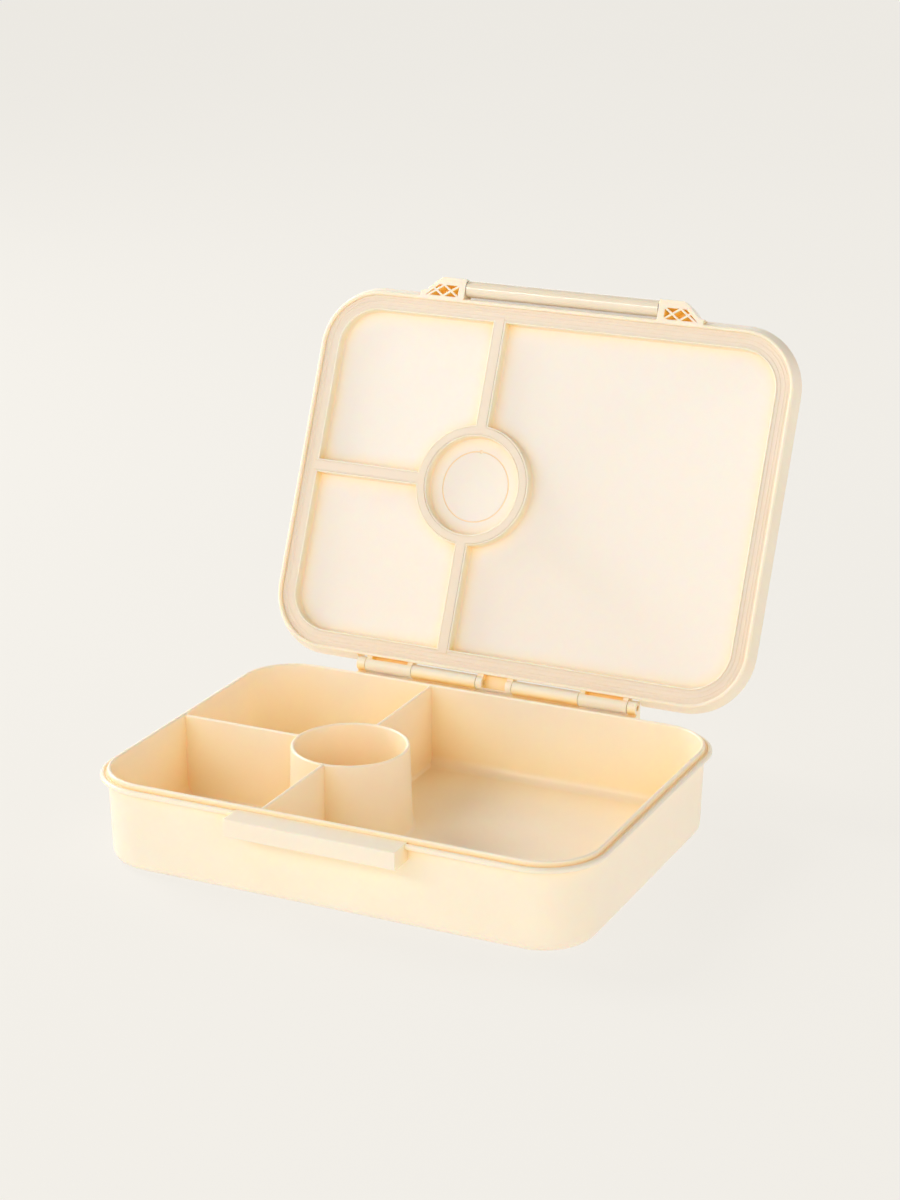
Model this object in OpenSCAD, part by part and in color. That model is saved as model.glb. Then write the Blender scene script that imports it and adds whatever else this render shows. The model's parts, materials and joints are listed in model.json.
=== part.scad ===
// Bento lunch box with five compartments, a hinged sealing lid and a snap-over front latch.
// The lid is modelled open on its stop, with the latch folded back behind it.
// Origin: centre of the underside. +X to the box's right, +Y to the hinge, +Z up. Millimetres.

/* [Box opening] */
// Width of the opening inside the lip
inner_w = 210; // [200:1:225]
// Depth of the opening inside the lip, front to back
inner_d = 150; // [145:1:160]
// Corner radius of the opening
inner_corner = 22; // [18:1:26]
// Height from the underside to the top of the lip
base_h = 38.6; // [34:0.1:48]
// Thickness of the floor
floor_t = 2.2; // [1.6:0.1:3]
// Thickness of the lip and of the walls under it
wall_t = 1.7; // [1.4:0.1:2]
// Draft of the outside of the walls, in degrees
outer_draft = 2; // [1:0.1:2.2]
// Draft of the inside of the walls, in degrees
inner_draft = 1.6; // [1:0.1:2]
// Radius round the outside of the floor
outer_fillet = 4.5; // [2:0.1:6]
// Radius between the floor and the walls inside
inner_fillet = 5; // [3:0.1:6]

/* [Flange] */
// How far the lip stands above the flange bead
lip_rise = 1.8; // [1.2:0.1:2.4]
// How far the flange bead reaches out from the opening
flange_reach = 4.6; // [4.2:0.1:4.8]
// Radius of the flange bead
bead_r = 1.15; // [0.9:0.05:1.2]

/* [Compartments] */
// Where the front and rear dividers and the well stand, along X
well_x = -27; // [-40:1:-20]
// Outer radius of the round well at its rim
well_r = 24.6; // [20:0.1:28]
// Thickness of the dividers and of the well at their rims
divider_t = 1.6; // [1.3:0.1:2]
// Draft of each face of the dividers and of the well, in degrees
divider_draft = 1; // [0.5:0.1:1.5]
// Radius along the foot of the dividers and of the well
divider_foot_r = 2; // [1:0.1:3]

/* [Catch ledge] */
// Width of the ledge that the latch hooks under
ledge_w = 74; // [60:1:80]
// Height of the ledge
ledge_h = 7.5; // [5:0.1:9]
// How far the ledge reaches out from the opening
ledge_reach = 12.8; // [12:0.1:13]

/* [Hinge] */
// Distance of the hinge axis behind the opening
hinge_back = 9.3; // [9:0.1:9.6]
// Height of the hinge axis above the lip
hinge_up = 1.2; // [0.8:0.1:1.6]
// Outer radius of the hinge knuckles
knuckle_r = 3; // [2.8:0.1:3.1]
// Radius of the hinge pins
hinge_pin_r = 1.3; // [1:0.05:1.5]
// Radial clearance of a pin in a turning knuckle
pin_clearance = 0.05; // [0.02:0.01:0.1]
// Angle from closed at which the lid rests on its stop
lid_open = 113.6; // [90:0.1:120]

/* [Lid] */
// How far the crest of the lid's rim lies outside the opening
rim_out = 5.4; // [5.2:0.1:5.6]
// Gap between the closed rim and the flange bead
rim_gap = 0.3; // [0.2:0.1:0.6]
// Height of the lid from the rim's crest to its top
lid_h = 8.6; // [8:0.1:10]
// Thickness of the lid's top
lid_t = 2.4; // [1.6:0.1:2.8]
// How far the lid's edge swells outside its rim
lid_swell = 2.9; // [2:0.1:3]
// Thickness of the walls that hold the seal
channel_wall = 0.9; // [0.7:0.1:1.2]
// Width of the ribs over the dividers
rib_w = 6; // [5:0.1:8]

/* [Seal] */
// Width of the channel for the seal along the edge, wall to wall
seal_w = 5.8; // [5.4:0.1:6]
// Height of the seal's two sealing beads
seal_bead = 0.15; // [0.05:0.05:0.2]

/* [Latch] */
// Width of the latch
latch_w = 90.4; // [80:0.2:94]
// Outer radius of the latch barrel
latch_r = 3.7; // [3.4:0.1:3.8]
// Distance of the latch axis in front of the opening
latch_out = 11.3; // [11.2:0.1:11.4]
// Radius of the latch pin
latch_pin_r = 1.25; // [1:0.05:1.6]
// Angle that the latch turns through from hooked to folded back
latch_swing = 180; // [150:1:180]

/* [Hidden] */
$fn = 96;
eps = 0.01;
// How far a feature runs on inside what it joins, and how far a cut runs out past what it cuts
join = 0.8;
past = 1;
arc_kink = 4;

half_w = inner_w / 2;
half_d = inner_d / 2;
cream = "#fbead0";
silicone = "#eedbc4";
steel = "#c9ccd0";

// Flange heights
bead_top = base_h - lip_rise;
bead_z = bead_top - bead_r;
flange_bottom = bead_z - bead_r;
groove_z = bead_top - 0.5;
lip_step = 0.2;

// Dividers and well
divider_top = base_h - 0.5;
well_rim_r = divider_t / 2;
well_lean = 1.6;

// Ledge
ledge_top = bead_top;
ledge_bottom = ledge_top - ledge_h;
ledge_front = half_d + ledge_reach;
ledge_edge_r = 0.8;
flap_gap = 0.3;

// Hinge: knuckle ends along X, from the middle of the box outwards
hinge_y = half_d + hinge_back;
hinge_z = base_h + hinge_up;
ear_in = 5.6;
ear_out = 8.4;
base_knuckle_in = 8.7;
base_knuckle_out = 39.4;
lid_knuckle_in = 39.7;
lid_knuckle_out = 61.9;
cap_in = 62.2;
cap_out = 66;
pin_recess = 1;
arm_front = 83;
arm_bottom = flange_bottom - 3.4;
arm_r = 3;
lid_ear_t = 2.4;
lid_ear_drop = 1.8;
lid_plate_t = 1.5;
lid_slot = 1.4;
ear_web = 0.9;
shelf_gap = 0.4;
shelf_t = 2.8;
shelf_back = 0.6;

// Lid reference line and heights, with the lid closed
rim_w = half_w + rim_out;
rim_d = half_d + rim_out - 0.2;
rim_corner = inner_corner + 3;
rim_r = 0.9;
rim_z = bead_top + rim_gap;
panel_z = lid_h - lid_t;
channel_edge = 1.3;
channel_floor = 4.4;
frame_in = rim_r + seal_w + channel_wall;
swell_drop = 0.7;
swell_z = lid_h - lid_swell - swell_drop;
ring_in = well_r - 2.8;
ring_out = well_r + 2.1;
frame_foot_r = 1.2;
mark_r = 15.6;
mark_w = 0.5;
mark_t = 0.25;
gate_r = 0.8;

// Lid edge behind the hinge and behind the latch
hinge_cut = rim_d + 0.5;
latch_cut = rim_d + 1.1;
edge_cut = 10;

// Seal
seal_face = 1.75;
seal_strip_w = 1.5;
seal_strip_face = 1.6;
seal_rib_face = channel_edge;
seal_strip_r = 0.12;
seal_bead_r = 0.3;
seal_bead_pitch = 1.3;

// Latch and its brackets, with the lid closed
latch_y = -(half_d + latch_out);
latch_z = rim_z + latch_r;
latch_gap = 0.4;
latch_half = latch_w / 2;
flap_in = -(ledge_front + flap_gap);
flap_out = latch_y - latch_r;
hook_top = ledge_bottom - flap_gap;
hook_t = 1.7;
hook_in = flap_in + 3.5;
hook_nose = 0.7;
hook_slope = 1.4;
hook_gap = 1;
tab_bottom = hook_top - 5.2;
tab_lean = 0.8;
tab_corner = 6;
post_in = latch_half + latch_gap;
post_out = post_in + 3;
bracket_front = latch_y - latch_r;
bracket_h = lid_h - 0.8;
bracket_corner_r = 2.6;
bracket_top_x = post_in + 10.6;
bracket_slope = 41.8;
bracket_foot_r = 5;
pocket_front = latch_y - 0.2;
pocket_back = -(rim_d + rim_r + 0.4);
pocket_depth = lid_h - 3;
pocket_wall = 2.2;
lattice_pitch = 7.2;
lattice_rib = 0.9;
lattice_lean = 35;

// Rounded-rectangle sweep of a section whose x is measured outwards from the reference line.
// The straights and the corners meet on flat faces.
module sweep(w, d, corner) {
    side = w - corner;
    end = d - corner;
    for (turn = [0, 180]) {
        rotate(turn) translate([-side, end, 0]) rotate([90, 0, 90]) linear_extrude(2 * side)
            translate([corner, 0]) children();
        rotate(turn) translate([side, end, 0]) rotate([90, 0, 0]) linear_extrude(2 * end)
            translate([corner, 0]) children();
        rotate(turn) translate([side, end, 0]) rotate_extrude(angle = 90)
            translate([corner, 0]) children();
        rotate(turn) translate([-side, end, 0]) rotate(90) rotate_extrude(angle = 90)
            translate([corner, 0]) children();
    }
}

// Region left of a drafted wall and above a floor, with the corner between them rounded.
// The arc stands a hair proud of tangent, so that what crosses the wall meets definite edges there.
module drafted(x0, draft, z0, z1, left, r) {
    reach = r * cos(arc_kink);
    xc = x0 + (z0 + r) * tan(draft) - reach / cos(draft);
    union() {
        polygon([[left, z0], [xc, z0], [xc + reach * cos(draft), z0 + r - reach * sin(draft)],
                 [x0 + z1 * tan(draft), z1], [left, z1]]);
        translate([xc, z0 + r]) circle(r);
    }
}

// Fillet between a wall that rises at x = 0 and a floor at y = 0
module fillet(r) {
    difference() {
        square(r);
        translate([r, r]) circle(r);
    }
}

// Section of the base: floor, drafted wall, flange with its bead, and lip
module base_section() {
    outer_x0 = wall_t - lip_step - flange_bottom * tan(outer_draft);
    lip_r = wall_t / 2;
    difference() {
        union() {
            drafted(outer_x0, outer_draft, 0, flange_bottom + join, -inner_corner, outer_fillet);
            translate([-join, flange_bottom]) square([join + wall_t, base_h - lip_r - flange_bottom]);
            translate([lip_r, base_h - lip_r]) circle(lip_r);
            translate([0, flange_bottom]) square([flange_reach - bead_r, groove_z - flange_bottom]);
            translate([flange_reach - bead_r, bead_z]) circle(bead_r);
        }
        drafted(-(base_h - lip_r) * tan(inner_draft), inner_draft, floor_t, base_h - lip_r,
                -inner_corner, inner_fillet);
    }
}

// Section across a divider, with its foot fillets and round top
module divider_section() {
    foot = divider_t / 2 + (divider_top - floor_t) * tan(divider_draft);
    shoulder = divider_top - divider_t / 2;
    union() {
        polygon([[-foot, floor_t - eps], [foot, floor_t - eps],
                 [divider_t / 2, shoulder], [-divider_t / 2, shoulder]]);
        translate([0, shoulder]) circle(divider_t / 2);
        for (side = [0, 1]) mirror([side, 0]) translate([foot - 0.1, floor_t - eps]) fillet(divider_foot_r);
    }
}

// A divider along +Y from y = 0 to the wall at y = reach, ending inside the drafted wall
module divider(start, reach) {
    end_top = reach + join;
    end_foot = end_top - divider_top * tan(inner_draft);
    intersection() {
        translate([0, start, 0]) rotate([90, 0, 180]) linear_extrude(reach + past - start) divider_section();
        rotate([90, 0, 90]) translate([0, 0, -well_r]) linear_extrude(2 * well_r)
            polygon([[start, 0], [end_foot, 0], [end_top, base_h], [start, base_h]]);
    }
}

module well() {
    lean = (divider_top - floor_t) * tan(divider_draft);
    shoulder = divider_top - well_rim_r;
    outer_foot = well_r + well_lean * lean;
    inner_foot = well_r - divider_t - lean;
    translate([well_x, 0, 0]) rotate_extrude() union() {
        polygon([[inner_foot, floor_t - eps], [outer_foot, floor_t - eps],
                 [well_r, shoulder], [well_r - divider_t, shoulder]]);
        translate([well_r - well_rim_r, shoulder]) circle(well_rim_r);
        translate([outer_foot - 0.1, floor_t - eps]) fillet(divider_foot_r);
        translate([inner_foot + 0.1, floor_t - eps]) mirror([1, 0]) fillet(divider_foot_r);
    }
}

module catch_ledge() {
    rotate([90, 0, 90]) translate([0, 0, -ledge_w / 2]) linear_extrude(ledge_w) union() {
        translate([-ledge_front + ledge_edge_r, ledge_bottom])
            square([ledge_front - ledge_edge_r - half_d - join, ledge_h]);
        translate([-ledge_front, ledge_bottom + ledge_edge_r])
            square([2 * ledge_edge_r, ledge_h - 2 * ledge_edge_r]);
        for (z = [ledge_bottom + ledge_edge_r, ledge_top - ledge_edge_r])
            translate([-ledge_front + ledge_edge_r, z]) circle(ledge_edge_r);
    }
}

// Base knuckle from x0 to x1, on an arm that passes under the lid's rim
module base_knuckle(x0, x1) {
    arm_back = hinge_y + knuckle_r;
    arm_in = half_d + join;
    translate([x0, 0, 0]) rotate([90, 0, 90]) linear_extrude(x1 - x0) difference() {
        union() {
            translate([hinge_y, hinge_z]) circle(knuckle_r);
            translate([arm_in, arm_bottom])
                square([arm_back - arm_in - arm_r, bead_top - lip_step - arm_bottom]);
            translate([arm_front, arm_bottom + arm_r])
                square([arm_back - arm_front, hinge_z - arm_bottom - arm_r]);
            translate([arm_back - arm_r, arm_bottom + arm_r]) circle(arm_r);
        }
        translate([hinge_y, hinge_z]) circle(hinge_pin_r);
    }
}

// Shelf that joins the hinge arms under the lid's knuckles
module hinge_shelf() {
    front = half_d + flange_reach - bead_r;
    top = min(bead_top, hinge_z - knuckle_r) - shelf_gap;
    translate([-cap_in - join, front, top - shelf_t])
        cube([2 * (cap_in + join), hinge_y + knuckle_r - shelf_back - front, shelf_t]);
}

module base_box() {
    color(cream) union() {
        sweep(half_w, half_d, inner_corner) base_section();
        translate([inner_corner - half_w, inner_corner - half_d, 0])
            cube([inner_w - 2 * inner_corner, inner_d - 2 * inner_corner, floor_t]);
        translate([well_x, 0, 0]) {
            divider(well_r - 1, half_d);
            mirror([0, 1, 0]) divider(well_r - 1, half_d);
        }
        rotate(90) divider(well_r - 1 - well_x, half_w);
        well();
        catch_ledge();
        hinge_shelf();
        for (side = [0, 1]) mirror([side, 0, 0]) {
            base_knuckle(base_knuckle_in, base_knuckle_out);
            base_knuckle(cap_in, cap_out);
        }
    }
}

// Moves what is modelled on the closed lid to where the open lid holds it
module on_open_lid() {
    translate([0, hinge_y, hinge_z]) rotate([-lid_open, 0, 0])
        translate([0, -hinge_y, -hinge_z]) children();
}

// Moves the hooked latch to its folded-back place, with the lid closed
module on_folded_latch() {
    translate([0, latch_y, latch_z]) rotate([-latch_swing, 0, 0])
        translate([0, -latch_y, -latch_z]) children();
}

// Section of the lid's edge: rim, swelling side and the raised frame that carries the seal
module lid_section() {
    arc_x = lid_swell - (lid_h - swell_z);
    union() {
        translate([0, rim_r]) circle(rim_r);
        polygon([[-rim_r, rim_r], [rim_r, rim_r], [lid_swell, swell_z], [arc_x, swell_z],
                 [arc_x, lid_h], [-frame_in, lid_h], [-frame_in, panel_z], [-rim_r, panel_z]]);
        intersection() {
            translate([arc_x, swell_z]) circle(lid_h - swell_z);
            translate([arc_x - eps, swell_z - eps]) square(lid_h);
        }
        translate([-rim_corner, panel_z]) square([rim_corner - frame_in + eps, lid_t]);
        translate([-frame_in, channel_edge + channel_wall / 2])
            square([frame_in - rim_r + eps, panel_z - channel_edge]);
        translate([-frame_in + channel_wall / 2, channel_edge + channel_wall / 2]) circle(channel_wall / 2);
        translate([-frame_in + eps, panel_z + eps]) rotate(180) fillet(frame_foot_r);
    }
}

// Section across a rib of the frame, centred, from the rib's edge up into the panel
module rib_section(width) {
    r = channel_wall / 2;
    union() {
        translate([-width / 2, channel_edge + r]) square([width, panel_z - channel_edge]);
        for (side = [-1, 1]) translate([side * (width / 2 - r), channel_edge + r]) circle(r);
        for (side = [0, 1]) mirror([side, 0]) translate([width / 2 - eps, panel_z + eps])
            mirror([0, 1]) fillet(frame_foot_r);
    }
}

// The paths of the three ribs: rear, front and left, each along +Y from the ring to the edge
module rib_paths() {
    for (side = [0, 1]) mirror([0, side, 0]) translate([well_x, 0, 0])
        rib_run(ring_out - 2, rim_d - frame_in + 2 * channel_wall) children();
    rotate(90) rib_run(ring_out - 2 - well_x, rim_w - frame_in + 2 * channel_wall) children();
}

module rib_run(start, end) {
    translate([0, start, 0]) rotate([90, 0, 180]) linear_extrude(end - start) children();
}

// The lid's plate with its swelling edge and raised frame, rim down at z = 0
module lid_plate() {
    inner_w2 = rim_w - rim_corner;
    inner_d2 = rim_d - rim_corner;
    ring_mid = (ring_in + ring_out) / 2;
    difference() {
        union() {
            sweep(rim_w, rim_d, rim_corner) lid_section();
            translate([-inner_w2, -inner_d2, panel_z]) cube([2 * inner_w2, 2 * inner_d2, lid_t]);
            translate([well_x, 0, 0]) rotate_extrude()
                translate([ring_mid, 0]) rib_section(ring_out - ring_in);
            rib_paths() rib_section(rib_w);
        }
        sweep(rim_w, rim_d, rim_corner)
            translate([-rim_r - seal_w, -past]) square([seal_w, channel_floor + past]);
        translate([well_x, 0, 0]) rotate_extrude()
            translate([ring_in + channel_wall, -past])
                square([ring_out - ring_in - 2 * channel_wall, channel_floor + past]);
        rib_paths() translate([-rib_w / 2 + channel_wall, -past])
            square([rib_w - 2 * channel_wall, channel_floor + past]);
        translate([well_x, 0, panel_z - past]) rotate_extrude()
            translate([mark_r - mark_w / 2, 0]) square([mark_w, past + mark_t]);
        translate([well_x, -mark_r, panel_z - past]) cylinder(h = past + mark_t, r = gate_r);
    }
}

// Outline of the right-hand bracket, seen from above
module bracket_outline() {
    nx = sin(bracket_slope);
    ny = cos(bracket_slope);
    arc_y = bracket_front + bracket_corner_r;
    top = [bracket_top_x + bracket_corner_r * nx, arc_y - bracket_corner_r * ny];
    foot_y = -(rim_d + lid_swell) - bracket_foot_r;
    foot_x = top[0] + (bracket_foot_r + (foot_y - top[1]) * ny) / nx;
    union() {
        difference() {
            polygon([[post_in, -rim_d], [post_in, bracket_front], [bracket_top_x, bracket_front], top,
                     [foot_x - bracket_foot_r * nx, foot_y + bracket_foot_r * ny], [foot_x, foot_y],
                     [foot_x, -rim_d]]);
            translate([foot_x, foot_y]) circle(bracket_foot_r);
        }
        translate([bracket_top_x, arc_y]) circle(bracket_corner_r);
    }
}

// Lattice pockets in the bracket's underside
module bracket_pockets() {
    slope_x = bracket_top_x + pocket_wall;
    translate([0, 0, -past]) linear_extrude(past + pocket_depth) difference() {
        polygon([[post_out, pocket_back], [post_out, pocket_front], [slope_x, pocket_front],
                 [slope_x + (pocket_back - pocket_front) * tan(90 - bracket_slope), pocket_back]]);
        for (i = [0, 1], lean = [-1, 1])
            translate([post_out + (i + 0.5) * lattice_pitch, (pocket_front + pocket_back) / 2])
                rotate(lean * lattice_lean)
                    square([lattice_pitch / sin(lattice_lean), lattice_rib], center = true);
    }
}

// Lid knuckle from x0 to x1: barrel, plate and an ear at each end, rim down at z = 0
module lid_knuckle(x0, x1, ear) {
    axis_z = hinge_z - rim_z;
    front = hinge_cut - join;
    for (x = [x0, x1 - ear]) translate([x, front, axis_z - lid_ear_drop])
        cube([ear, hinge_y - front, knuckle_r + lid_ear_drop]);
    translate([x0, front, axis_z + knuckle_r - lid_plate_t])
        cube([x1 - x0, hinge_y - front, lid_plate_t]);
    translate([x0, hinge_y, axis_z]) rotate([0, 90, 0]) cylinder(h = x1 - x0, r = knuckle_r);
}

// The whole lid moulding, closed, in the box's frame
module lid_closed() {
    axis_z = hinge_z - rim_z;
    hinge_cut_x = cap_out + join;
    translate([0, 0, rim_z]) difference() {
        union() {
            difference() {
                lid_plate();
                translate([-hinge_cut_x, hinge_cut, -past])
                    cube([2 * hinge_cut_x, edge_cut, lid_h + 2 * past]);
                translate([-post_in, -latch_cut - edge_cut, -past])
                    cube([2 * post_in, edge_cut, lid_h + 2 * past]);
            }
            for (side = [0, 1]) mirror([side, 0, 0]) {
                linear_extrude(bracket_h) bracket_outline();
                lid_knuckle(lid_knuckle_in, lid_knuckle_out, lid_ear_t);
            }
            lid_knuckle(-ear_out, ear_out, ear_out - ear_in);
        }
        for (side = [0, 1]) mirror([side, 0, 0]) {
            bracket_pockets();
            translate([lid_knuckle_in + lid_ear_t, hinge_cut, -past])
                cube([lid_knuckle_out - lid_knuckle_in - 2 * lid_ear_t, lid_slot,
                      past + axis_z + knuckle_r - lid_plate_t]);
        }
        translate([-ear_in, hinge_cut, -past])
            cube([2 * ear_in, hinge_y + knuckle_r - ear_web - hinge_cut,
                  past + axis_z + knuckle_r - lid_plate_t]);
        translate([-cap_out, hinge_y, axis_z]) rotate([0, 90, 0])
            cylinder(h = 2 * cap_out, r = hinge_pin_r + pin_clearance);
        translate([-post_out, latch_y, latch_r]) rotate([0, 90, 0])
            cylinder(h = 2 * post_out, r = latch_pin_r);
    }
}

module lid_shell() {
    color(cream) on_open_lid() lid_closed();
}

// Section of the edge seal: a flat strip along the inner wall, then a lower face with two fine beads
module edge_seal_section() {
    inner = -rim_r - seal_w;
    strip = inner + seal_strip_w;
    union() {
        translate([inner, seal_face]) square([seal_w, channel_floor - seal_face]);
        translate([inner, seal_strip_face])
            square([seal_strip_w - seal_strip_r, channel_floor - seal_strip_face]);
        translate([inner, seal_strip_face + seal_strip_r])
            square([seal_strip_w, channel_floor - seal_strip_face - seal_strip_r]);
        translate([strip - seal_strip_r, seal_strip_face + seal_strip_r]) circle(seal_strip_r);
        for (i = [1, 2])
            translate([-rim_r - i * seal_bead_pitch, seal_face + seal_bead_r - seal_bead])
                circle(seal_bead_r);
    }
}

// Section of the seal between the two walls of a rib or of the ring, centred
module rib_seal_section(width) {
    translate([-width / 2, seal_rib_face]) square([width, channel_floor - seal_rib_face]);
}

module lid_seal() {
    ring_mid = (ring_in + ring_out) / 2;
    color(silicone) on_open_lid() translate([0, 0, rim_z]) union() {
        sweep(rim_w, rim_d, rim_corner) edge_seal_section();
        translate([well_x, 0, 0]) rotate_extrude()
            translate([ring_mid, 0]) rib_seal_section(ring_out - ring_in - 2 * channel_wall);
        rib_paths() rib_seal_section(rib_w - 2 * channel_wall);
    }
}

// Section of the latch flap and its thumb tab, hooked, seen from the +X end
module flap_section() {
    union() {
        translate([flap_out, hook_top - hook_t]) square([flap_in - flap_out, latch_z - hook_top + hook_t]);
        polygon([[flap_out, hook_top], [flap_in, hook_top], [flap_in, hook_top - hook_t],
                 [flap_in - tab_lean, tab_bottom], [flap_out - tab_lean, tab_bottom]]);
        translate([(flap_in + flap_out) / 2 - tab_lean, tab_bottom]) circle((flap_in - flap_out) / 2);
    }
}

// Outline of the flap, seen from the front
module flap_outline() {
    bottom = tab_bottom - past;
    union() {
        translate([-latch_half, bottom + tab_corner])
            square([latch_w, latch_z - bottom - tab_corner]);
        translate([tab_corner - latch_half, bottom]) square([latch_w - 2 * tab_corner, 2 * tab_corner]);
        for (side = [-1, 1])
            translate([side * (latch_half - tab_corner), bottom + tab_corner]) circle(tab_corner);
    }
}

module front_latch() {
    hook_half = ledge_w / 2 - hook_gap;
    color(cream) on_open_lid() on_folded_latch() difference() {
        union() {
            translate([-latch_half, latch_y, latch_z]) rotate([0, 90, 0]) cylinder(h = latch_w, r = latch_r);
            intersection() {
                rotate([90, 0, 90]) translate([0, 0, -latch_half]) linear_extrude(latch_w) flap_section();
                translate([0, hook_in, 0]) rotate([90, 0, 0]) linear_extrude(latch_w) flap_outline();
            }
            rotate([90, 0, 90]) translate([0, 0, -hook_half]) linear_extrude(2 * hook_half)
                polygon([[flap_in - eps, hook_top], [hook_in, hook_top], [hook_in, hook_top - hook_nose],
                         [hook_in - hook_slope, hook_top - hook_t], [flap_in - eps, hook_top - hook_t]]);
        }
        translate([-post_in, latch_y, latch_z]) rotate([0, 90, 0])
            cylinder(h = 2 * post_in, r = latch_pin_r + pin_clearance);
    }
}

module latch_pin() {
    color(steel) on_open_lid() translate([-post_out, latch_y, latch_z]) rotate([0, 90, 0])
        cylinder(h = 2 * post_out, r = latch_pin_r);
}

module hinge_pin() {
    color(steel) translate([ear_in + pin_recess, hinge_y, hinge_z]) rotate([0, 90, 0])
        cylinder(h = cap_out - ear_in - 2 * pin_recess, r = hinge_pin_r);
}

module hinge_pin_left() {
    mirror([1, 0, 0]) hinge_pin();
}

module hinge_pin_right() {
    hinge_pin();
}

base_box();
lid_shell();
lid_seal();
front_latch();
latch_pin();
hinge_pin_left();
hinge_pin_right();
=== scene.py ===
import json
import math

import bmesh
import bpy
from mathutils import Matrix, Vector

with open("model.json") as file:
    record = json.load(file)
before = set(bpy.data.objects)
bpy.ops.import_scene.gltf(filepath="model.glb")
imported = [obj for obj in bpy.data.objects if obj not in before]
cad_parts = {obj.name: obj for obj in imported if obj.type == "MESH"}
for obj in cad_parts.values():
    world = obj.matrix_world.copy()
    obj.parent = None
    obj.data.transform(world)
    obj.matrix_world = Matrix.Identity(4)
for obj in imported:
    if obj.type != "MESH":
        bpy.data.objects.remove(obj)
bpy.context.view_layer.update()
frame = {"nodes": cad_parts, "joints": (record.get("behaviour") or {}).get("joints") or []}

MM = 0.001

# Camera
AZIMUTH = 25.45
ELEVATION = 18.82
DISTANCE = 1.3211
LENS = 83.98
SENSOR = 36
AIM = Vector((-0.06813, 0.18165, 0.0386))

# Colours, as linear light
CREAM = (0.98, 0.852, 0.70)
LATCH_CREAM = (0.90, 0.79, 0.63)
# Painted sheen: the lid's inner panels are painted paler and less yellow than the rest of the same lid
# plastic
PANEL_PAINTED_SHEEN = (0.92, 0.87, 0.80)
SILICONE = (0.91, 0.78, 0.645)
# Painted shade: the amber that hollows in the plastic are tinted towards
HOLLOW_SHADE_AMBER = (0.95, 0.68, 0.15)
BLACK = (0.0, 0.0, 0.0)

# Painted glow: emission colours put into the plastic in half-closed and in nearly closed hollows, in place
# of the light that passes through it
BASE_PAINTED_GLOW = [(0.095, 0.092, 0.05), BLACK]
LID_PAINTED_GLOW = [(0.06, 0.05, 0.02), (0.11, 0.085, 0.012)]
SEAL_PAINTED_GLOW = [(0.04, 0.025, 0.01), (0.04, 0.025, 0.01)]
LATCH_PAINTED_GLOW = [(0.03, 0.02, 0.01), (0.02, 0.01, 0.0)]
GLOW_STOPS = (0.05, 0.4, 0.85)

# Wire of the pins, and how dark its drawn lines are
STEEL = (0.62, 0.62, 0.63)
STEEL_LINE = 0.85
WIRE_LINE = 0.2 * MM
WIRE_STRETCH = 0.03
WIRE_ROUGHNESS = (0.25, 0.4)

# Studio floor: most of its light is its own, so that shadows on it stay faint
FLOOR = (0.885, 0.86, 0.81)
FLOOR_SHADE = 0.995
FLOOR_GLOW = 0.88
FLOOR_LIGHT = 0.898
FLOOR_ROUGHNESS = 0.9
FLOOR_HALF = 4.0
FLOOR_SQUARES = 4

# Surround, by the height of the direction that is looked in
WORLD = (1.0, 0.985, 0.96)
HORIZON_LIGHT = 1.25
ZENITH_LIGHT = 0.16
HORIZON_TOP = 0.3
ZENITH_BOTTOM = 0.7

# Softboxes: azimuth from the front towards the right, elevation, distance, width, height and power
KEYS = [
    ("key_strip", -18.0, 30.0, 1.5, 1.6, 0.08, 5.6),
    ("side_right", 70.0, 35.0, 1.5, 0.7, 0.7, 0.5),
    ("side_left", -100.0, 33.0, 1.5, 0.7, 0.7, 14.0),
]
KEY_COLOUR = (1.0, 0.985, 0.96)
KEY_AIM = Vector((0.0, 0.03, 0.08))

# Surface detail: grain, flow clouding and the patches that vary the gloss
GRAIN = 0.35 * MM
GRAIN_DEPTH = 0.012 * MM
SWIRL = 38 * MM
SWIRL_WARMTH = (0.985, 0.97, 0.945)
PATCHES_PER_SWIRL = 9
FINE_SHARE = 0.5
GLOSS_BELOW = 0.05
GLOSS_ABOVE = 0.06
SOFT_LOW = 0.3
SOFT_HIGH = 0.7

# Plastic: refraction, light that spreads under the surface, and the clear top gloss
IOR = 1.49
SPREAD = 3 * MM
SPREAD_BY_COLOUR = (1.0, 0.5, 0.25)
TOP_GLOSS = 0.12

# Rounded look of edges, and the angle up to which faces are shaded as one
EDGE_ROUND = 0.28 * MM
EDGE_SAMPLES = 6
WELD = 0.002 * MM
SMOOTH_ANGLE = math.radians(24)

# How far hollows reach, and how quickly their painted amber shade sets in
BASE_HOLLOW = 40 * MM
LID_HOLLOW = 7 * MM
HOLLOW_POWER = 1.35
HOLLOW_SAMPLES = 8

# The lid's inner panels, whose colour is a painted sheen: height with the lid closed, half the band that
# counts, and added roughness
PANEL_HEIGHT = 43.3 * MM
PANEL_BAND = 0.15 * MM
PANEL_MATT = 0.35


def node_tree(name):
    material = bpy.data.materials.new(name)
    material.use_nodes = True
    tree = material.node_tree
    tree.nodes.clear()
    out = tree.nodes.new("ShaderNodeOutputMaterial")
    shader = tree.nodes.new("ShaderNodeBsdfPrincipled")
    tree.links.new(shader.outputs["BSDF"], out.inputs["Surface"])
    return material, tree, shader


def noise(tree, where, scale, detail=2.0, roughness=0.5):
    n = tree.nodes.new("ShaderNodeTexNoise")
    n.inputs["Scale"].default_value = scale
    n.inputs["Detail"].default_value = detail
    n.inputs["Roughness"].default_value = roughness
    tree.links.new(where, n.inputs["Vector"])
    return n.outputs["Fac"]


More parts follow.
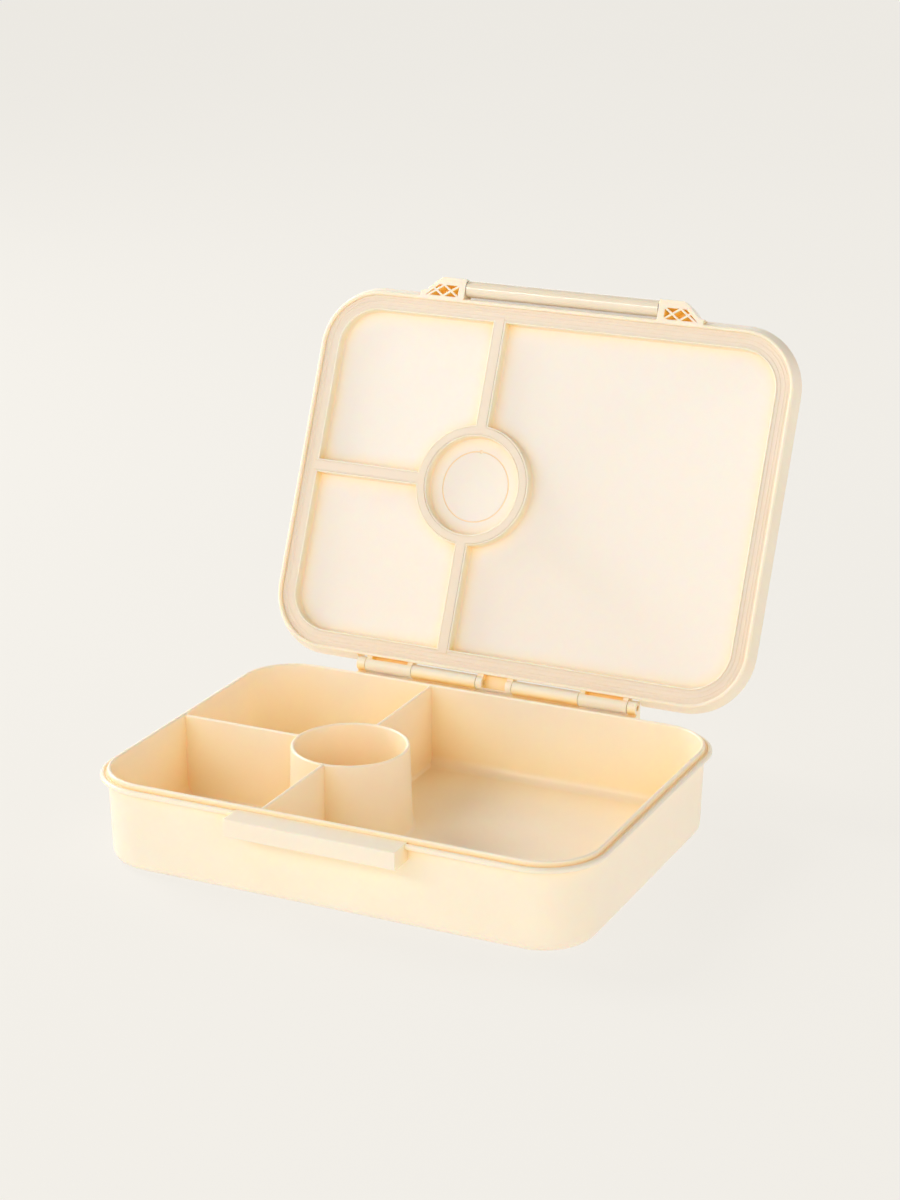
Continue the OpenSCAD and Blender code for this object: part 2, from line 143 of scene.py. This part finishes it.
def ramp(tree, value, stops):
    n = tree.nodes.new("ShaderNodeValToRGB")
    while len(n.color_ramp.elements) < len(stops):
        n.color_ramp.elements.new(0.5)
    for element, (at, colour) in zip(n.color_ramp.elements, stops):
        element.position = at
        element.color = (*colour, 1.0)
    tree.links.new(value, n.inputs["Fac"])
    return n.outputs["Color"]


def to_range(tree, value, low, high):
    n = tree.nodes.new("ShaderNodeMapRange")
    n.inputs["To Min"].default_value = low
    n.inputs["To Max"].default_value = high
    tree.links.new(value, n.inputs["Value"])
    return n.outputs["Result"]


def shaded(colour, share):
    return tuple(c * share for c in colour)


def paint_hollow_shade_and_glow(tree, colour, reach, share, glow, shader):
    """Paints a warm amber shade into the base colour and a glow into the emission where the plastic closes
    in on itself, in place of the light that passes through it.
    """
    open_share = tree.nodes.new("ShaderNodeAmbientOcclusion")
    open_share.samples = HOLLOW_SAMPLES
    open_share.only_local = True
    open_share.inputs["Distance"].default_value = reach
    mix = tree.nodes.new("ShaderNodeMix")
    mix.data_type = "RGBA"
    mix.blend_type = "MULTIPLY"
    closed = to_range(tree, open_share.outputs["AO"], 1.0, 0.0)
    steep = tree.nodes.new("ShaderNodeMath")
    steep.operation = "POWER"
    steep.inputs[1].default_value = HOLLOW_POWER
    tree.links.new(closed, steep.inputs[0])
    # Painted shade: the base colour is multiplied towards amber as the surface closes in
    tree.links.new(to_range(tree, steep.outputs["Value"], 0.0, share), mix.inputs["Factor"])
    tree.links.new(colour, mix.inputs["A"])
    mix.inputs["B"].default_value = (*HOLLOW_SHADE_AMBER, 1.0)
    tree.links.new(mix.outputs["Result"], shader.inputs["Base Color"])
    # Painted glow: emission that grows as the surface closes in
    painted_glow = ramp(tree, closed, list(zip(GLOW_STOPS, [BLACK, *glow])))
    tree.links.new(painted_glow, shader.inputs["Emission Color"])
    shader.inputs["Emission Strength"].default_value = 1.0


def on_closed_lid(tree, where):
    """Turns a point on the stored, open lid to where it lies with the lid closed."""
    joint = next(j for j in frame["joints"] if j["name"] == "lid_hinge")
    turn = math.radians(joint["range_deg"][1])
    pivot = Vector(joint["pos_m"])
    moved = pivot - Matrix.Rotation(turn, 3, "X") @ pivot
    place = tree.nodes.new("ShaderNodeMapping")
    place.inputs["Rotation"].default_value = (turn, 0.0, 0.0)
    place.inputs["Location"].default_value = moved
    tree.links.new(where, place.inputs["Vector"])
    return place.outputs["Vector"]


def panel_mask(tree, where):
    """One on the lid's inner panels and nothing elsewhere."""
    split = tree.nodes.new("ShaderNodeSeparateXYZ")
    tree.links.new(on_closed_lid(tree, where), split.inputs["Vector"])
    near = tree.nodes.new("ShaderNodeMath")
    near.operation = "COMPARE"
    near.inputs[1].default_value = PANEL_HEIGHT
    near.inputs[2].default_value = PANEL_BAND
    tree.links.new(split.outputs["Z"], near.inputs[0])
    return near.outputs["Value"]


def blend_colours(tree, share, below, above):
    mix = tree.nodes.new("ShaderNodeMix")
    mix.data_type = "RGBA"
    tree.links.new(share, mix.inputs["Factor"])
    tree.links.new(below, mix.inputs["A"])
    mix.inputs["B"].default_value = (*above, 1.0)
    return mix.outputs["Result"]


def plastic(name, colour, rough, grain, glow, sub=0.0, coat=0.0, hollow_shade_share=0.55, hollow=LID_HOLLOW, panel=False):
    """Moulded plastic: faint flow clouding, spark-eroded grain and softly rounded edges."""
    material, tree, shader = node_tree(name)
    where = tree.nodes.new("ShaderNodeTexCoord").outputs["Object"]
    cloud = noise(tree, where, 1 / SWIRL, 3.0, 0.55)
    warm = tuple(c * share for c, share in zip(colour, SWIRL_WARMTH))
    clouded = ramp(tree, cloud, [(SOFT_LOW, warm), (SOFT_HIGH, colour)])
    panel_sheen_and_matt = None
    if panel:
        panel_sheen_and_matt = panel_mask(tree, where)
        # Painted sheen: the inner panels take a paler colour than the rest of the lid
        clouded = blend_colours(tree, panel_sheen_and_matt, clouded, PANEL_PAINTED_SHEEN)
    paint_hollow_shade_and_glow(tree, clouded, hollow, hollow_shade_share, glow, shader)
    fine = noise(tree, where, 1 / GRAIN, 2.0, 0.6)
    mottle = noise(tree, where, PATCHES_PER_SWIRL / SWIRL, 4.0, 0.6)
    mixed = tree.nodes.new("ShaderNodeMath")
    mixed.operation = "MULTIPLY_ADD"
    mixed.inputs[1].default_value = FINE_SHARE
    tree.links.new(fine, mixed.inputs[0])
    tree.links.new(mottle, mixed.inputs[2])
    roughness = to_range(tree, mixed.outputs["Value"], rough - GLOSS_BELOW, rough + GLOSS_ABOVE)
    if panel_sheen_and_matt:
        rougher = tree.nodes.new("ShaderNodeMath")
        rougher.operation = "MULTIPLY_ADD"
        rougher.inputs[1].default_value = PANEL_MATT
        tree.links.new(panel_sheen_and_matt, rougher.inputs[0])
        tree.links.new(roughness, rougher.inputs[2])
        roughness = rougher.outputs["Value"]
    tree.links.new(roughness, shader.inputs["Roughness"])
    edge = tree.nodes.new("ShaderNodeBevel")
    edge.samples = EDGE_SAMPLES
    edge.inputs["Radius"].default_value = EDGE_ROUND
    bump = tree.nodes.new("ShaderNodeBump")
    bump.inputs["Strength"].default_value = 1.0
    bump.inputs["Distance"].default_value = grain
    tree.links.new(fine, bump.inputs["Height"])
    tree.links.new(edge.outputs["Normal"], bump.inputs["Normal"])
    tree.links.new(bump.outputs["Normal"], shader.inputs["Normal"])
    shader.inputs["IOR"].default_value = IOR
    if sub:
        shader.inputs["Subsurface Weight"].default_value = sub
        shader.inputs["Subsurface Radius"].default_value = SPREAD_BY_COLOUR
        shader.inputs["Subsurface Scale"].default_value = SPREAD
    if coat:
        shader.inputs["Coat Weight"].default_value = coat
        shader.inputs["Coat Roughness"].default_value = TOP_GLOSS
    return material


def drawn_steel(name):
    """Drawn wire: fine lines along the pins' length."""
    material, tree, shader = node_tree(name)
    where = tree.nodes.new("ShaderNodeTexCoord").outputs["Object"]
    stretch = tree.nodes.new("ShaderNodeMapping")
    stretch.inputs["Scale"].default_value = (WIRE_STRETCH, 1.0, 1.0)
    tree.links.new(where, stretch.inputs["Vector"])
    lines = noise(tree, stretch.outputs["Vector"], 1 / WIRE_LINE, 2.0, 0.5)
    tree.links.new(ramp(tree, lines, [(0.35, shaded(STEEL, STEEL_LINE)), (0.65, STEEL)]),
                   shader.inputs["Base Color"])
    tree.links.new(to_range(tree, lines, *WIRE_ROUGHNESS), shader.inputs["Roughness"])
    shader.inputs["Metallic"].default_value = 1.0
    return material


def smoothing():
    """Node group that joins the faces' shared edges and shades them smooth up to an angle."""
    group = bpy.data.node_groups.new("smooth_by_angle", "GeometryNodeTree")
    group.interface.new_socket("Geometry", in_out="INPUT", socket_type="NodeSocketGeometry")
    group.interface.new_socket("Geometry", in_out="OUTPUT", socket_type="NodeSocketGeometry")
    add = group.nodes.new
    begin = add("NodeGroupInput")
    end = add("NodeGroupOutput")
    plain = add("GeometryNodeRemoveAttribute")
    plain.inputs["Name"].default_value = "custom_normal"
    join = add("GeometryNodeMergeByDistance")
    join.inputs["Distance"].default_value = WELD
    faces = add("GeometryNodeSetShadeSmooth")
    faces.domain = "FACE"
    edges = add("GeometryNodeSetShadeSmooth")
    edges.domain = "EDGE"
    edges.inputs["Shade Smooth"].default_value = False
    angle = add("GeometryNodeInputMeshEdgeAngle")
    steep = add("FunctionNodeCompare")
    steep.data_type = "FLOAT"
    steep.operation = "GREATER_THAN"
    steep.inputs["B"].default_value = SMOOTH_ANGLE
    link = group.links.new
    link(angle.outputs["Unsigned Angle"], steep.inputs["A"])
    link(steep.outputs["Result"], edges.inputs["Selection"])
    link(begin.outputs[0], plain.inputs["Geometry"])
    link(plain.outputs["Geometry"], join.inputs["Geometry"])
    link(join.outputs["Geometry"], faces.inputs["Geometry"])
    link(faces.outputs["Geometry"], edges.inputs["Geometry"])
    link(edges.outputs["Geometry"], end.inputs[0])
    return group


def dress(node, material, group):
    """Gives a CAD node its material and smooth shading."""
    thing = frame["nodes"][node]
    thing.data.materials.clear()
    thing.data.materials.append(material)
    modifier = thing.modifiers.new("smooth", "NODES")
    modifier.node_group = group


def studio_floor():
    mesh = bpy.data.meshes.new("studio_floor")
    bm = bmesh.new()
    bmesh.ops.create_grid(bm, x_segments=FLOOR_SQUARES, y_segments=FLOOR_SQUARES, size=FLOOR_HALF)
    bm.to_mesh(mesh)
    bm.free()
    floor = bpy.data.objects.new("studio_floor", mesh)
    bpy.context.scene.collection.objects.link(floor)
    material, tree, shader = node_tree("studio_floor")
    where = tree.nodes.new("ShaderNodeTexCoord").outputs["Object"]
    soft = noise(tree, where, 2.0, 2.0, 0.5)
    pale = ramp(tree, soft, [(SOFT_LOW, shaded(FLOOR, FLOOR_SHADE)), (SOFT_HIGH, FLOOR)])
    dimmed = tree.nodes.new("ShaderNodeMix")
    dimmed.data_type = "RGBA"
    dimmed.inputs["Factor"].default_value = FLOOR_GLOW
    tree.links.new(pale, dimmed.inputs["A"])
    dimmed.inputs["B"].default_value = (*BLACK, 1.0)
    tree.links.new(dimmed.outputs["Result"], shader.inputs["Base Color"])
    tree.links.new(pale, shader.inputs["Emission Color"])
    shader.inputs["Emission Strength"].default_value = FLOOR_LIGHT
    shader.inputs["Roughness"].default_value = FLOOR_ROUGHNESS
    shader.inputs["Specular IOR Level"].default_value = 0.0
    mesh.materials.append(material)


def softbox(name, at, aim, width, height, power, colour):
    light = bpy.data.lights.new(name, "AREA")
    light.shape = "RECTANGLE"
    light.size = width
    light.size_y = height
    light.energy = power
    light.color = colour
    thing = bpy.data.objects.new(name, light)
    thing.location = at
    thing.rotation_euler = (Vector(aim) - Vector(at)).to_track_quat("-Z", "Y").to_euler()
    bpy.context.scene.collection.objects.link(thing)


def heading(azimuth, elevation):
    """Unit direction away from the box: azimuth from the front towards the right, in degrees."""
    turn = math.radians(azimuth)
    rise = math.radians(elevation)
    return Vector((math.sin(turn) * math.cos(rise), -math.cos(turn) * math.cos(rise), math.sin(rise)))


def make_camera():
    data = bpy.data.cameras.new("camera")
    data.lens = LENS
    data.sensor_width = SENSOR
    data.sensor_fit = "AUTO"
    camera = bpy.data.objects.new("camera", data)
    away = heading(AZIMUTH, ELEVATION)
    camera.location = AIM + away * DISTANCE
    camera.rotation_euler = (-away).to_track_quat("-Z", "Y").to_euler()
    bpy.context.scene.collection.objects.link(camera)
    bpy.context.scene.camera = camera


def sky_light(world):
    """Soft surround, brighter near the horizon than overhead."""
    tree = world.node_tree
    sky = tree.nodes["Background"]
    sky.inputs["Strength"].default_value = 1.0
    where = tree.nodes.new("ShaderNodeTexCoord").outputs["Generated"]
    split = tree.nodes.new("ShaderNodeSeparateXYZ")
    tree.links.new(where, split.inputs["Vector"])
    level = ramp(tree, split.outputs["Z"], [(HORIZON_TOP, shaded(WORLD, HORIZON_LIGHT)),
                                            (ZENITH_BOTTOM, shaded(WORLD, ZENITH_LIGHT))])
    tree.links.new(level, sky.inputs["Color"])


def studio():
    scene = bpy.context.scene
    scene.view_settings.view_transform = "Standard"
    world = bpy.data.worlds.new("studio")
    world.use_nodes = True
    sky_light(world)
    scene.world = world
    for name, azimuth, elevation, distance, width, height, power in KEYS:
        softbox(name, KEY_AIM + heading(azimuth, elevation) * distance, KEY_AIM, width, height, power,
                KEY_COLOUR)
    studio_floor()


make_camera()
studio()

group = smoothing()
base_material = plastic("base_plastic", CREAM, 0.34, GRAIN_DEPTH, BASE_PAINTED_GLOW, sub=0.45, coat=0.3, hollow_shade_share=0.95,
                        hollow=BASE_HOLLOW)
lid_material = plastic("lid_plastic", CREAM, 0.28, GRAIN_DEPTH, LID_PAINTED_GLOW, sub=0.45, hollow_shade_share=1.0, panel=True)
latch_material = plastic("latch_plastic", LATCH_CREAM, 0.13, GRAIN_DEPTH * 0.2, LATCH_PAINTED_GLOW, sub=0.2,
                         coat=1.0)
seal_material = plastic("seal_silicone", SILICONE, 0.5, GRAIN_DEPTH, SEAL_PAINTED_GLOW, sub=0.3, hollow_shade_share=0.3)
pin_material = drawn_steel("pin_steel")

dress("base_box", base_material, group)
dress("lid_shell", lid_material, group)
dress("front_latch", latch_material, group)
dress("lid_seal", seal_material, group)
dress("latch_pin", pin_material, group)
dress("hinge_pin_left", pin_material, group)
dress("hinge_pin_right", pin_material, group)
